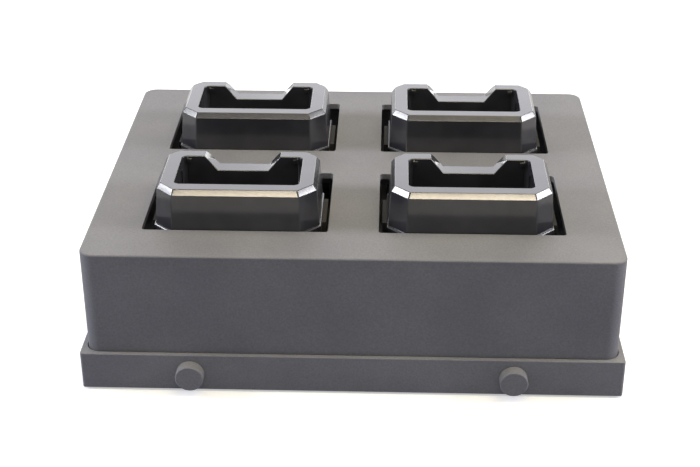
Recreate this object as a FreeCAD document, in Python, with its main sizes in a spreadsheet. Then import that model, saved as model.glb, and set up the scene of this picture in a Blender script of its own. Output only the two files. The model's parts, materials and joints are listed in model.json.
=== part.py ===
import FreeCAD, Part
import math
import os
import re

import Sketcher
from FreeCAD import Vector

# Four-bay drop-in charging station for belt-worn wireless packs.
# Millimetres, +Z up. The origin is the middle of the footprint, on the table: the centre of the middle
# foot's underside. -Y is the front, where the two latch knobs are, and +X is to the user's right.

doc = FreeCAD.newDocument("charging_station")
sheet = doc.addObject("Spreadsheet::Sheet", "Sizes")

SIZES = {
    # Top cover: a printed nylon box, open below
    "cover_wide": 260.0,
    "cover_deep": 208.0,
    "deck_top": 74.0,
    "deck_thick": 3.0,
    "cover_wall": 3.0,
    "cover_corner": 7.0,
    "deck_edge": 0.9,
    # Deck openings, one round each charger
    "opening_wide": 91.3,
    "opening_deep": 66.3,
    "opening_x": 58.0,
    "opening_front": -44.0,
    "opening_rear": 50.5,
    "opening_corner": 1.7,
    "rib_thick": 2.5,
    "rib_tall": 9.0,
    # Base tray: its rim stands round the foot of the cover
    "seam_gap": 0.4,
    "rim_wall": 2.5,
    "rim_top": 20.7,
    "tray_floor": 3.0,
    "tray_corner": 1.5,
    "vent_long": 44.0,
    "vent_wide": 3.0,
    "vent_step": 8.0,
    "tongue_x": 78.0,
    "tongue_wide": 18.0,
    "tongue_thick": 2.6,
    "tongue_level": 9.0,
    "tongue_reach": 5.0,
    # Rubber feet, let into the tray's floor
    "foot_stand": 1.2,
    "foot_radius": 8.0,
    "foot_recess": 1.0,
    "foot_x": 116.0,
    "foot_y": 90.0,
    # Carrier plate on its pillars
    "carrier_top": 36.0,
    "carrier_thick": 2.0,
    "carrier_margin": 3.0,
    "pillar_radius": 4.0,
    "pillar_x": 112.0,
    "pillar_y": 76.0,
    "pillar_boss": 2.0,
    "screw_radius": 1.5,
    "screw_head": 2.9,
    "screw_head_tall": 1.8,
    "screw_bite": 7.0,
    # Charger: a collar standing out of the deck, on a wider body below it
    "cup_x": 57.4,
    "cup_forward": 7.1,
    "collar_wide": 78.6,
    "collar_deep": 48.6,
    "collar_corner": 8.4,
    "collar_back_corner": 6.0,
    "collar_rise": 17.7,
    "collar_flare": 1.3,
    "rim_rise": 2.7,
    "rim_inset": 1.9,
    "collar_round": 1.6,
    "rim_round": 0.5,
    "shoulder_side": 0.6,
    "shoulder_face": 0.2,
    "shoulder_corner": 8.4,
    "shoulder_back_corner": 6.8,
    "shoulder_drop": 1.0,
    "shoulder_edge": 0.4,
    "skin": 2.0,
    "pocket_wide": 61.4,
    "pocket_deep": 31.9,
    "pocket_corner": 3.0,
    "pocket_depth": 44.4,
    "notch_top": 38.5,
    "notch_bottom": 25.6,
    "notch_level": 12.5,
    "notch_round": 0.4,
    "guide_wide": 1.6,
    "guide_proud": 0.8,
    "guide_y": 10.0,
    "guide_drop": 5.5,
    "nub_wide": 2.4,
    "nub_proud": 0.9,
    "nub_tall": 2.0,
    "nub_drop": 1.4,
    "nub_x": 27.0,
    "ear_long": 26.0,
    "ear_proud": 2.2,
    "ear_tall": 8.0,
    "ear_drop": 3.5,
    "ear_back": 4.0,
    "bridge_tall": 18.0,
    "bridge_long": 6.4,
    "bridge_y": 8.0,
    "bridge_clear": 0.6,
    "charger_floor": 2.5,
    # Charger board and sprung contacts
    "board_thick": 1.6,
    "board_stand": 1.0,
    "board_wide": 58.0,
    "board_deep": 38.0,
    "post_radius": 2.5,
    "post_inset": 5.0,
    "chip_side": 8.0,
    "chip_tall": 1.5,
    "chip_x": 18.0,
    "chip_y": 6.0,
    "coil_radius": 4.0,
    "coil_tall": 3.3,
    "terminal_wide": 8.0,
    "terminal_deep": 4.0,
    "soldered": 0.1,
    "block_wide": 22.0,
    "block_deep": 7.0,
    "block_floor": 0.6,
    "contact_x": 6.0,
    "contact_radius": 0.9,
    "contact_proud": 1.6,
    "flange_radius": 1.5,
    "flange_tall": 0.8,
    "running_gap": 0.05,
    "stop_gap": 0.05,
    "spring_wire": 0.14,
    "spring_pitch": 0.8,
    # Latches: a quarter-turn knob, its shaft and a cam behind the cover's skirt
    "knob_x": 79.0,
    "knob_level": 10.6,
    "knob_radius": 6.9,
    "knob_proud": 5.8,
    "knob_edge": 0.5,
    "shaft_radius": 4.0,
    "face_gap": 0.3,
    "cam_thick": 3.0,
    "cam_reach": 13.0,
    "cam_half": 3.0,
    "cam_screw_radius": 1.25,
    "cam_screw_bite": 7.0,
    "keeper_wide": 7.0,
    "keeper_deep": 4.0,
    "keeper_start": 6.0,
    "slot_side": 0.6,
    # Power board, socket and leads
    "main_wide": 72.0,
    "main_deep": 84.0,
    "main_stand": 5.0,
    "main_post": 3.4,
    "main_inset": 5.0,
    "main_screw_bite": 3.0,
    "plug_long": 7.0,
    "plug_wide": 8.0,
    "plug_tall": 6.0,
    "capacitor_radius": 5.0,
    "capacitor_tall": 12.1,
    "capacitor_x": 12.0,
    "capacitor_y": 8.0,
    "regulator_wide": 14.0,
    "regulator_deep": 5.0,
    "regulator_tall": 11.1,
    "lead_radius": 1.4,
    "lead_hole": 2.2,
    "lead_inset": 18.0,
    "socket_x": -44.0,
    "socket_level": 12.2,
    "socket_radius": 4.0,
    "socket_flange": 5.6,
    "socket_proud": 1.6,
    "socket_body": 13.0,
    "socket_bore": 3.0,
    "socket_bore_deep": 9.0,
    "socket_pin": 1.0,
    "nut_radius": 6.0,
    "nut_thick": 2.0,
    "clip_long": 6.0,
    "clip_wall": 1.4,
}
for row, (alias, value) in enumerate(SIZES.items(), start=1):
    sheet.set(f"A{row}", alias.replace("_", " "))
    sheet.set(f"B{row}", str(value))
    sheet.setAlias(f"B{row}", alias)
doc.recompute()

# Sizes and levels that follow from the driving ones
TRAY_WIDE = "(cover_wide + 2 * seam_gap + 2 * rim_wall)"
TRAY_DEEP = "(cover_deep + 2 * seam_gap + 2 * rim_wall)"
FLOOR_TOP = "(foot_stand + tray_floor)"
CHARGER_SEAT = "(carrier_top + charger_floor)"
SHOULDER = f"(deck_top - shoulder_drop - {CHARGER_SEAT})"
COLLAR_BREAK = f"(deck_top + collar_rise - {CHARGER_SEAT})"
RIM = f"({COLLAR_BREAK} + rim_rise)"
POCKET_FLOOR = f"({RIM} - pocket_depth)"
BLOCK_SEAT = "(board_stand + board_thick)"
BLOCK_TALL = f"({POCKET_FLOOR} - skin - {BLOCK_SEAT})"
STEP_LEVEL = f"({POCKET_FLOOR} - skin - block_floor)"
MAIN_SEAT = f"({FLOOR_TOP} + main_stand)"
MAIN_Y = "((opening_front + opening_rear) / 2 - cup_forward)"
CHARGER_GAP = "((opening_rear - opening_front) / 2)"
LEAD_Y = f"({CHARGER_GAP} - lead_inset)"
LEAD_LEVEL = f"({MAIN_SEAT} + board_thick + plug_tall / 2)"
FRONT_FACE = "(-cover_deep / 2 - seam_gap - rim_wall)"
CAM_FACE = "(-cover_deep / 2 + cover_wall + face_gap)"

CORNERS = [(-1, -1), (1, -1), (1, 1), (-1, 1)]
BAYS = [("front_left", -1, "opening_front"), ("front_right", 1, "opening_front"),
        ("rear_left", -1, "opening_rear"), ("rear_right", 1, "opening_rear")]

pieces = []
cuts = []


def formula(text):
    """A sizing rule in the sheet's words, as an expression of the document."""
    def cell(word):
        return "Sizes." + word.group() if word.group() in SIZES else word.group()
    return re.sub(r"[a-z_]+", cell, text)


def size(text):
    """The present value of one cell."""
    return float(sheet.get(text))


def bind(thing, **rules):
    for name, rule in rules.items():
        thing.setExpression(name.replace("__", "."), formula(str(rule)))
    return thing


def place(thing, x="0", y="0", z="0"):
    return bind(thing, Placement__Base__x=x, Placement__Base__y=y, Placement__Base__z=z)


def keep(thing, label):
    """Name a finished sub-part."""
    thing.Label = label
    pieces.append(thing)
    return thing


# ---- Sketched features

def new_body(name):
    return doc.addObject("PartDesign::Body", name)


def sketch(body, name, plane="XY_Plane", level="0"):
    drawing = body.newObject("Sketcher::SketchObject", name)
    support = [datum for datum in body.Origin.OriginFeatures if datum.Role == plane][0]
    drawing.AttachmentSupport = (support, [""])
    drawing.MapMode = "FlatFace"
    bind(drawing, AttachmentOffset__Base__z=level)
    return drawing


def pin_down(drawing, first, vertex, at, x, y):
    """Fix a point of the sketch by its two distances from the sketch's origin."""
    added = drawing.addConstraint([
        Sketcher.Constraint("DistanceX", -1, 1, first, vertex, at.x),
        Sketcher.Constraint("DistanceY", -1, 1, first, vertex, at.y)])
    for index, rule in zip(added, (x, y)):
        drawing.setExpression(f"Constraints[{index}]", formula(str(rule)))


def outline(drawing, corners):
    """A closed outline of straight edges through the corners given."""
    first = drawing.GeometryCount
    count = len(corners)
    turn = 2 * math.pi / count
    start = [Vector(50 * math.cos(turn * i + 0.3), 50 * math.sin(turn * i + 0.3), 0) for i in range(count)]
    drawing.addGeometry([Part.LineSegment(start[i], start[(i + 1) % count]) for i in range(count)], False)
    drawing.addConstraint([
        Sketcher.Constraint("Coincident", first + i, 2, first + (i + 1) % count, 1) for i in range(count)])
    for i, (x, y) in enumerate(corners):
        pin_down(drawing, first + i, 1, start[i], x, y)


def rectangle(drawing, wide, deep, x="0", y="0"):
    outline(drawing, [(f"({x}) + {i} * ({wide}) / 2", f"({y}) + {j} * ({deep}) / 2") for i, j in CORNERS])


def octagon(drawing, half_x, half_y, front_leg, back_leg):
    """A rectangle with its four corners cut off at 45 degrees, the front pair and the back pair alike."""
    corners = []
    for i, j in CORNERS:
        leg = front_leg if j < 0 else back_leg
        along_side = (f"{i} * ({half_x})", f"{j} * (({half_y}) - ({leg}))")
        along_face = (f"{i} * (({half_x}) - ({leg}))", f"{j} * ({half_y})")
        corners += [along_side, along_face] if i * j > 0 else [along_face, along_side]
    outline(drawing, corners)


def circle(drawing, radius, x="0", y="0"):
    at = Vector(9, 7, 0)
    index = drawing.addGeometry(Part.Circle(at, Vector(0, 0, 1), 3), False)
    pin_down(drawing, index, 3, at, x, y)
    radius_index = drawing.addConstraint(Sketcher.Constraint("Radius", index, 3.0))
    drawing.setExpression(f"Constraints[{radius_index}]", formula(str(radius)))


def pad(body, name, drawing, length, reverse=False):
    feature = body.newObject("PartDesign::Pad", name)
    feature.Profile = drawing
    feature.Reversed = reverse
    return bind(feature, Length=length)


def pocket(body, name, drawing, depth, reverse=False):
    """Cut a sketched outline out of the body; the cut is tested for volume before anything is written."""
    before = body.Tip
    feature = body.newObject("PartDesign::Pocket", name)
    feature.Profile = drawing
    feature.Reversed = reverse
    cuts.append((before, feature))
    return bind(feature, Length=depth)


def edges_where(feature, test):
    """The names of a feature's edges that a test on their two ends accepts."""
    doc.recompute()
    names = []
    for number, edge in enumerate(feature.Shape.Edges, start=1):
        ends = [vertex.Point for vertex in edge.Vertexes]
        if len(ends) == 2 and test(*ends):
            names.append(f"Edge{number}")
    return names


def upright(a, b):
    return abs(a.x - b.x) < 1e-4 and abs(a.y - b.y) < 1e-4


def round_edges(body, name, feature, names, radius):
    fillet = body.newObject("PartDesign::Fillet", name)
    fillet.Base = (feature, names)
    return bind(fillet, Radius=radius)


def bevel_edges(body, name, feature, names, leg):
    chamfer = body.newObject("PartDesign::Chamfer", name)
    chamfer.Base = (feature, names)
    return bind(chamfer, Size=leg)


# ---- Solid primitives

def box(name, wide, deep, tall, x="0", y="0", z="0"):
    """A block given by its size, the middle of its plan and its lowest level."""
    block = doc.addObject("Part::Box", name)
    bind(block, Length=wide, Width=deep, Height=tall)
    return place(block, f"({x}) - ({wide}) / 2", f"({y}) - ({deep}) / 2", z)


def rod(name, radius, length, x="0", y="0", z="0", along="Z"):
    """A cylinder that starts at a point and runs along +Z or +Y."""
    cylinder = doc.addObject("Part::Cylinder", name)
    bind(cylinder, Radius=radius, Height=length)
    place(cylinder, x, y, z)
    if along == "Y":
        cylinder.Placement.Rotation = FreeCAD.Rotation(Vector(1, 0, 0), -90)
    return cylinder


def join(name, members):
    fused = doc.addObject("Part::MultiFuse", name)
    fused.Shapes = members
    return fused


def cut(name, solid, tools):
    result = doc.addObject("Part::Cut", name)
    result.Base = solid
    result.Tool = tools[0] if len(tools) == 1 else join(name + "_tools", tools)
    return result


def group(name, members):
    """Separate solids of one kind, kept together as one sub-part."""
    compound = doc.addObject("Part::Compound", name)
    compound.Links = members
    return compound


def screw(name, x, y, seat, bite, head_up=True):
    """A pan-head screw whose head rests on the level given, above it or below it."""
    sign = 1 if head_up else -1
    head_low = f"({seat})" if head_up else f"({seat}) - screw_head_tall"
    shank_low = f"({seat}) - ({bite})" if head_up else f"({seat})"
    head = rod(name + "_head", "screw_head", "screw_head_tall", x, y, head_low)
    shank = rod(name + "_shank", "screw_radius", bite, x, y, shank_low)
    socket = rod(name + "_socket", "screw_radius * 0.8", "screw_head_tall * 0.5", x, y,
                 f"({seat}) + {sign} * screw_head_tall * 0.75 - screw_head_tall * 0.25")
    return cut(name, join(name + "_blank", [head, shank]), [socket])


def bay_place(side, row):
    return f"{side} * cup_x", f"{row} - cup_forward"


# ---- Base tray

def base_tray():
    body = new_body("base_tray")
    place(body, z="foot_stand")
    block = sketch(body, "tray_outline")
    rectangle(block, TRAY_WIDE, TRAY_DEEP)
    blank = pad(body, "tray_block", block, "rim_top - foot_stand")
    rounded = round_edges(body, "tray_corners", blank, edges_where(blank, upright), "tray_corner")

    hollow = sketch(body, "tray_hollow", level="rim_top - foot_stand")
    rectangle(hollow, "cover_wide + 2 * seam_gap", "cover_deep + 2 * seam_gap")
    well = pocket(body, "tray_well", hollow, "rim_top - foot_stand - tray_floor")

    def inner_corner(a, b):
        return upright(a, b) and abs(abs(a.x) - size("cover_wide") / 2 - size("seam_gap")) < 0.01
    round_edges(body, "well_corners", well, edges_where(well, inner_corner), "cover_corner + seam_gap")

    bosses = sketch(body, "boss_outline", level="tray_floor - 0.5")
    for i in (-1, 0, 1):
        for j in (-1, 1):
            circle(bosses, "pillar_radius + 1.5", f"{i} * pillar_x", f"{j} * pillar_y")
    pad(body, "pillar_bosses", bosses, "pillar_boss + 0.5")
    posts = sketch(body, "post_outline", level="tray_floor - 0.5")
    for i, j in CORNERS:
        circle(posts, "main_post", f"{i} * (main_wide / 2 - main_inset)",
               f"{MAIN_Y} + {j} * (main_deep / 2 - main_inset)")
    pad(body, "board_posts", posts, "main_stand + 0.5")

    # Two tongues at the back reach through the cover's skirt and hold its rear edge down
    tongue = sketch(body, "tongue_outline", "XZ_Plane", "-cover_deep / 2 - seam_gap - 0.5")
    for i in (-1, 1):
        rectangle(tongue, "tongue_wide", "tongue_thick", f"{i} * tongue_x",
                  "tongue_level + tongue_thick / 2 - foot_stand")
    pad(body, "rear_tongues", tongue, "tongue_reach + 0.5")

    # Screw holes with their head recesses, foot recesses and pilot holes
    holes = sketch(body, "screw_holes")
    recesses = sketch(body, "head_recesses")
    for i in (-1, 0, 1):
        for j in (-1, 1):
            circle(holes, "screw_radius + 0.2", f"{i} * pillar_x", f"{j} * pillar_y")
            circle(recesses, "screw_head + 0.4", f"{i} * pillar_x", f"{j} * pillar_y")
    pocket(body, "screw_bores", holes, "tray_floor + pillar_boss + 1", reverse=True)
    pocket(body, "screw_recesses", recesses, "screw_head_tall + 0.2", reverse=True)
    pilots = sketch(body, "pilot_outline", level="tray_floor + main_stand")
    for i, j in CORNERS:
        circle(pilots, "screw_radius", f"{i} * (main_wide / 2 - main_inset)",
               f"{MAIN_Y} + {j} * (main_deep / 2 - main_inset)")
    pocket(body, "post_pilots", pilots, "main_stand")
    feet = sketch(body, "foot_seats")
    circle(feet, "foot_radius + 0.2")
    for i, j in CORNERS:
        circle(feet, "foot_radius + 0.2", f"{i} * foot_x", f"{j} * foot_y")
    pocket(body, "foot_recesses", feet, "foot_recess", reverse=True)

    # Bores for the latch shafts in the front wall and for the power socket in the rear wall
    front = sketch(body, "shaft_outline", "XZ_Plane", f"-({FRONT_FACE}) + 1")
    for i in (-1, 1):
        circle(front, "shaft_radius + running_gap", f"{i} * knob_x", "knob_level - foot_stand")
    pocket(body, "shaft_bores", front, "rim_wall + 2")
    rear = sketch(body, "socket_outline", "XZ_Plane", "-cover_deep / 2 - seam_gap - rim_wall - 1")
    circle(rear, "socket_radius + 0.1", "socket_x", "socket_level - foot_stand")
    pocket(body, "socket_bore_cut", rear, "rim_wall + 2", reverse=True)

    # A row of air slots in the floor at each side of the power board
    for side, name in ((-1, "left"), (1, "right")):
        slot = sketch(body, f"vent_{name}_outline")
        rectangle(slot, "vent_long", "vent_wide", f"{side} * (main_wide / 2 + vent_long / 2 + 4)",
                  f"{MAIN_Y} - 3 * vent_step")
        vent = pocket(body, f"vent_{name}", slot, "tray_floor + 1", reverse=True)
        row = body.newObject("PartDesign::LinearPattern", f"vents_{name}")
        row.Originals = [vent]
        row.Direction = (slot, ["V_Axis"])
        row.Occurrences = 7
        bind(row, Length="6 * vent_step")
        body.Tip = row
        cuts.append((vent, row))
    return keep(body, "base_tray")


# ---- Top cover

def top_cover():
    body = new_body("top_cover")
    place(body, z=FLOOR_TOP)
    tall = f"(deck_top - {FLOOR_TOP})"
    block = sketch(body, "cover_outline")
    rectangle(block, "cover_wide", "cover_deep")
    blank = pad(body, "cover_block", block, tall)
    corners = round_edges(body, "cover_corners", blank, edges_where(blank, upright), "cover_corner")

    def along_top(a, b):
        top = size("deck_top") - size("foot_stand") - size("tray_floor")
        return abs(a.z - top) < 0.01 and abs(b.z - top) < 0.01
    round_edges(body, "deck_edge_round", corners, edges_where(corners, along_top), "deck_edge")

    hollow = sketch(body, "cover_hollow")
    rectangle(hollow, "cover_wide - 2 * cover_wall", "cover_deep - 2 * cover_wall")
    well = pocket(body, "cover_well", hollow, f"{tall} - deck_thick", reverse=True)

    def inner_corner(a, b):
        return upright(a, b) and abs(abs(a.x) - size("cover_wide") / 2 + size("cover_wall")) < 0.01
    round_edges(body, "cover_well_corners", well, edges_where(well, inner_corner),
                "cover_corner - cover_wall")

    # Stiffening ribs under the deck, between the openings
    ribs = sketch(body, "rib_outline", level=f"{tall} - deck_thick - rib_tall")
    middle = "(opening_front + opening_rear) / 2"
    near = f"{middle} - rib_thick / 2"
    beyond = f"{middle} + rib_thick / 2"
    side = "(cover_wide / 2 - cover_wall / 2)"
    end = "(cover_deep / 2 - cover_wall / 2)"
    outline(ribs, [(f"-{side}", near), ("-rib_thick / 2", near), ("-rib_thick / 2", f"-{end}"),
                   ("rib_thick / 2", f"-{end}"), ("rib_thick / 2", near), (side, near), (side, beyond),
                   ("rib_thick / 2", beyond), ("rib_thick / 2", end), ("-rib_thick / 2", end),
                   ("-rib_thick / 2", beyond), (f"-{side}", beyond)])
    pad(body, "deck_ribs", ribs, "rib_tall + 1")

    # The four openings
    windows = sketch(body, "opening_outline", level=f"{tall} + 1")
    for _, side, row in BAYS:
        rectangle(windows, "opening_wide", "opening_deep", f"{side} * opening_x", row)
    opened = pocket(body, "deck_openings", windows, "deck_thick + 2")

    def window_corner(a, b):
        off_x = abs(abs(abs(a.x) - size("opening_x")) - size("opening_wide") / 2)
        return upright(a, b) and off_x < 0.01
    round_edges(body, "opening_corners", opened, edges_where(opened, window_corner), "opening_corner")

    # Front skirt: slots that pass the latch shafts, and keepers that the cams turn over
    front = sketch(body, "shaft_slots", "XZ_Plane", "cover_deep / 2 + 1")
    slot_top = f"(knob_level - {FLOOR_TOP} + shaft_radius + slot_side)"
    for i in (-1, 1):
        rectangle(front, "2 * (shaft_radius + slot_side)", f"{slot_top} + 2",
                  f"{i} * knob_x", f"({slot_top} - 2) / 2")
    pocket(body, "latch_slots", front, "cover_wall + 2")
    keepers = sketch(body, "keeper_outline", "XZ_Plane", "cover_deep / 2 - cover_wall + 0.5")
    keeper_top = f"(knob_level - cam_half - face_gap - {FLOOR_TOP})"
    for i in (-1, 1):
        rectangle(keepers, "keeper_wide", keeper_top,
                  f"{i} * knob_x + keeper_start + keeper_wide / 2", f"{keeper_top} / 2")
    pad(body, "latch_keepers", keepers, "keeper_deep + 0.5", reverse=True)

    # Rear skirt: slots for the tray's tongues and a slot round the power socket
    rear = sketch(body, "rear_slots", "XZ_Plane", "-cover_deep / 2 - 1")
    for i in (-1, 1):
        rectangle(rear, "tongue_wide + 1", "tongue_thick + 0.8", f"{i} * tongue_x",
                  f"tongue_level + tongue_thick / 2 - {FLOOR_TOP}")
    socket_top = f"(socket_level - {FLOOR_TOP} + nut_radius + 1)"
    rectangle(rear, "2 * (nut_radius + 1)", f"{socket_top} + 2", "socket_x", f"({socket_top} - 2) / 2")
    pocket(body, "skirt_slots", rear, "cover_wall + 2", reverse=True)
    return keep(body, "top_cover")


# ---- Feet, pillars and carrier plate

def rubber_feet():
    feet = []
    for number, (i, j) in enumerate([(0, 0)] + CORNERS):
        feet.append(rod(f"foot_{number}", "foot_radius", "foot_stand + foot_recess",
                        f"{i} * foot_x", f"{j} * foot_y", "0"))
    return keep(group("feet", feet), "rubber_feet")


def pillar_spots():
    return [(f"{i} * pillar_x", f"{j} * pillar_y") for i in (-1, 0, 1) for j in (-1, 1)]


def carrier_pillars():
    low = f"({FLOOR_TOP} + pillar_boss)"
    tall = f"(carrier_top - carrier_thick - {low})"
    pillars = []
    for number, (x, y) in enumerate(pillar_spots()):
        prism = doc.addObject("Part::Prism", f"pillar_{number}")
        prism.Polygon = 6
        bind(prism, Circumradius="pillar_radius", Height=tall)
        place(prism, x, y, low)
        bore = rod(f"pillar_bore_{number}", "screw_radius", tall, x, y, low)
        pillars.append(cut(f"pillar_drilled_{number}", prism, [bore]))
    return keep(group("pillars", pillars), "carrier_pillars")


def carrier_plate():
    body = new_body("carrier_plate")
    place(body, z="carrier_top - carrier_thick")
    sheet_outline = sketch(body, "plate_outline")
    margin = "2 * (cover_wall + carrier_margin)"
    rectangle(sheet_outline, f"cover_wide - {margin}", f"cover_deep - {margin}")
    blank = pad(body, "plate", sheet_outline, "carrier_thick")
    round_edges(body, "plate_corners", blank, edges_where(blank, upright), "cover_corner")
    holes = sketch(body, "plate_holes")
    for x, y in pillar_spots():
        circle(holes, "screw_radius + 0.2", x, y)
    for _, side, row in BAYS:
        x, y = bay_place(side, row)
        inward = 1 if row == "opening_front" else -1
        circle(holes, "lead_hole", x, f"{y} + {inward} * lead_inset")
        for i, j in CORNERS:
            circle(holes, "screw_radius + 0.2", f"{x} + {i} * {BRIDGE_X}", f"{y} + {j} * bridge_y")
    pocket(body, "plate_drillings", holes, "carrier_thick + 1", reverse=True)
    window = sketch(body, "plate_window")
    rectangle(window, "cup_x * 0.3", "pillar_y", "0", MAIN_Y)
    pocket(body, "plate_air_window", window, "carrier_thick + 1", reverse=True)
    return keep(body, "carrier_plate")


# ---- Chargers

BODY_X = "(collar_wide / 2 + collar_flare + shoulder_side)"
BODY_Y = "(collar_deep / 2 + collar_flare + shoulder_face)"
BRIDGE_X = f"((pocket_wide / 2 + {BODY_X}) / 2)"
OFFSET_LEG = "0.5858"


def charger_shell(name, side, row):
    """The moulded shell: body, collar, pocket, rear notch, and the hollows behind its skin."""
    x, y = bay_place(side, row)
    body = new_body(f"shell_{name}")
    place(body, x, y, CHARGER_SEAT)
    low = sketch(body, f"{name}_body_outline")
    octagon(low, BODY_X, BODY_Y, "shoulder_corner", "shoulder_back_corner")
    block = pad(body, f"{name}_body", low, SHOULDER)

    def shoulder_line(a, b):
        level = size("deck_top") - size("shoulder_drop") - size("carrier_top") - size("charger_floor")
        along_face = abs(a.y - b.y) < 0.01
        return abs(a.z - level) < 0.01 and abs(b.z - level) < 0.01 and not along_face
    bevel_edges(body, f"{name}_shoulder_edge", block, edges_where(block, shoulder_line), "shoulder_edge")

    foot = sketch(body, f"{name}_collar_foot", level=SHOULDER)
    octagon(foot, "collar_wide / 2 + collar_flare", "collar_deep / 2 + collar_flare",
            f"collar_corner + {OFFSET_LEG} * collar_flare",
            f"collar_back_corner + {OFFSET_LEG} * collar_flare")
    crease = sketch(body, f"{name}_collar_crease", level=COLLAR_BREAK)
    octagon(crease, "collar_wide / 2", "collar_deep / 2", "collar_corner", "collar_back_corner")
    rim = sketch(body, f"{name}_collar_rim", level=RIM)
    octagon(rim, "collar_wide / 2 - rim_inset", "collar_deep / 2 - rim_inset",
            f"collar_corner - {OFFSET_LEG} * rim_inset",
            f"collar_back_corner - {OFFSET_LEG} * rim_inset")
    collar = body.newObject("PartDesign::AdditiveLoft", f"{name}_collar")
    collar.Profile = foot
    collar.Sections = [crease, rim]
    collar.Ruled = True

    crease_level = size("deck_top") + size("collar_rise") - size("carrier_top") - size("charger_floor")
    rim_level = crease_level + size("rim_rise")

    def rises_to_rim(a, b):
        low, high = sorted((a.z, b.z))
        return high - low > 1 and high > crease_level - 0.01
    rounded = round_edges(body, f"{name}_collar_corners", collar, edges_where(collar, rises_to_rim),
                          "collar_round")

    def round_the_rim(a, b):
        return abs(a.z - b.z) < 0.01 and (abs(a.z - crease_level) < 0.01 or abs(a.z - rim_level) < 0.01)
    round_edges(body, f"{name}_rim_edges", rounded, edges_where(rounded, round_the_rim), "rim_round")

    mouth = sketch(body, f"{name}_pocket_outline", level=RIM)
    rectangle(mouth, "pocket_wide", "pocket_deep")
    well = pocket(body, f"{name}_pocket", mouth, "pocket_depth")

    def pocket_corner(a, b):
        return upright(a, b) and abs(abs(a.x) - size("pocket_wide") / 2) < 0.01
    softened = round_edges(body, f"{name}_pocket_corners", well, edges_where(well, pocket_corner),
                           "pocket_corner")

    def pocket_lip(a, b):
        inside = max(abs(a.x), abs(b.x)) < size("pocket_wide") / 2 + 0.01
        return inside and abs(a.z - rim_level) < 0.01 and abs(b.z - rim_level) < 0.01
    round_edges(body, f"{name}_pocket_lip", softened, edges_where(softened, pocket_lip), "rim_round")

    # Hollow below the pocket's floor, then round its walls: in the body, in the collar, and in the rim
    inner_leg = f"shoulder_corner - {OFFSET_LEG} * skin"
    under = sketch(body, f"{name}_under_hollow")
    octagon(under, f"{BODY_X} - skin", f"{BODY_Y} - skin", inner_leg, inner_leg)
    pocket(body, f"{name}_under", under, f"{POCKET_FLOOR} - skin", reverse=True)
    ring = sketch(body, f"{name}_ring_hollow")
    octagon(ring, f"{BODY_X} - skin", f"{BODY_Y} - skin", inner_leg, inner_leg)
    rectangle(ring, "pocket_wide + 2 * skin", "pocket_deep + 2 * skin")
    pocket(body, f"{name}_ring", ring, f"{SHOULDER} - skin", reverse=True)
    upper = sketch(body, f"{name}_upper_hollow")
    collar_leg = f"collar_corner - {OFFSET_LEG} * skin"
    octagon(upper, "collar_wide / 2 - skin", "collar_deep / 2 - skin", collar_leg, collar_leg)
    rectangle(upper, "pocket_wide + 2 * skin", "pocket_deep + 2 * skin")
    pocket(body, f"{name}_upper", upper, f"deck_top + notch_level - skin - {CHARGER_SEAT}", reverse=True)
    horns = sketch(body, f"{name}_rim_hollow")
    back = "(collar_deep / 2 - skin - rim_inset)"
    front = f"(-{back})"
    far = "(collar_wide / 2 - skin - rim_inset)"
    leg = f"(collar_corner - {OFFSET_LEG} * (skin + rim_inset))"
    near_x = "(pocket_wide / 2 + skin)"
    near_y = "(pocket_deep / 2 + skin)"
    gate = "(notch_top / 2 + skin)"
    trim = "(pocket_corner + 0.2 * skin)"
    inner_x = f"({near_x} - {trim})"
    inner_y = f"({near_y} - {trim})"
    outline(horns, [(f"-{gate}", back), (f"-{far} + {leg}", back), (f"-{far}", f"{back} - {leg}"),
                    (f"-{far}", f"{front} + {leg}"), (f"-{far} + {leg}", front), (f"{far} - {leg}", front),
                    (far, f"{front} + {leg}"), (far, f"{back} - {leg}"), (f"{far} - {leg}", back),
                    (gate, back), (gate, near_y), (inner_x, near_y), (near_x, inner_y),
                    (near_x, f"-{inner_y}"), (inner_x, f"-{near_y}"), (f"-{inner_x}", f"-{near_y}"),
                    (f"-{near_x}", f"-{inner_y}"), (f"-{near_x}", inner_y), (f"-{inner_x}", near_y),
                    (f"-{gate}", near_y)])
    pocket(body, f"{name}_horns", horns, f"{RIM} - skin", reverse=True)

    # Finger notch in the rear wall, wider at the top
    gap = sketch(body, f"{name}_notch_outline", "XZ_Plane", "0")
    notch_z = f"(deck_top + notch_level - {CHARGER_SEAT})"
    rise = f"({RIM} - {notch_z})"
    slope = f"((notch_top - notch_bottom) / 2 / {rise})"
    outline(gap, [("-notch_bottom / 2", notch_z), ("notch_bottom / 2", notch_z),
                  (f"notch_top / 2 + {slope}", f"{RIM} + 1"), (f"-notch_top / 2 - {slope}", f"{RIM} + 1")])
    opened = pocket(body, f"{name}_notch", gap, "collar_deep")

    notch_low = size("deck_top") + size("notch_level") - size("carrier_top") - size("charger_floor")
    widening = (size("notch_top") - size("notch_bottom")) / 2 / (rim_level - notch_low)

    def on_notch(a):
        face = size("notch_bottom") / 2 + widening * (a.z - notch_low)
        return a.y > 0 and a.z > notch_low - 0.01 and abs(abs(a.x) - face) < 0.02

    def notch_edge(a, b):
        runs_through = abs(a.z - b.z) < 0.01 and a.z < notch_low + 0.01 and abs(a.x - b.x) < 0.01
        return on_notch(a) and on_notch(b) and not runs_through
    round_edges(body, f"{name}_notch_edges", opened, edges_where(opened, notch_edge), "notch_round")

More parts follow.
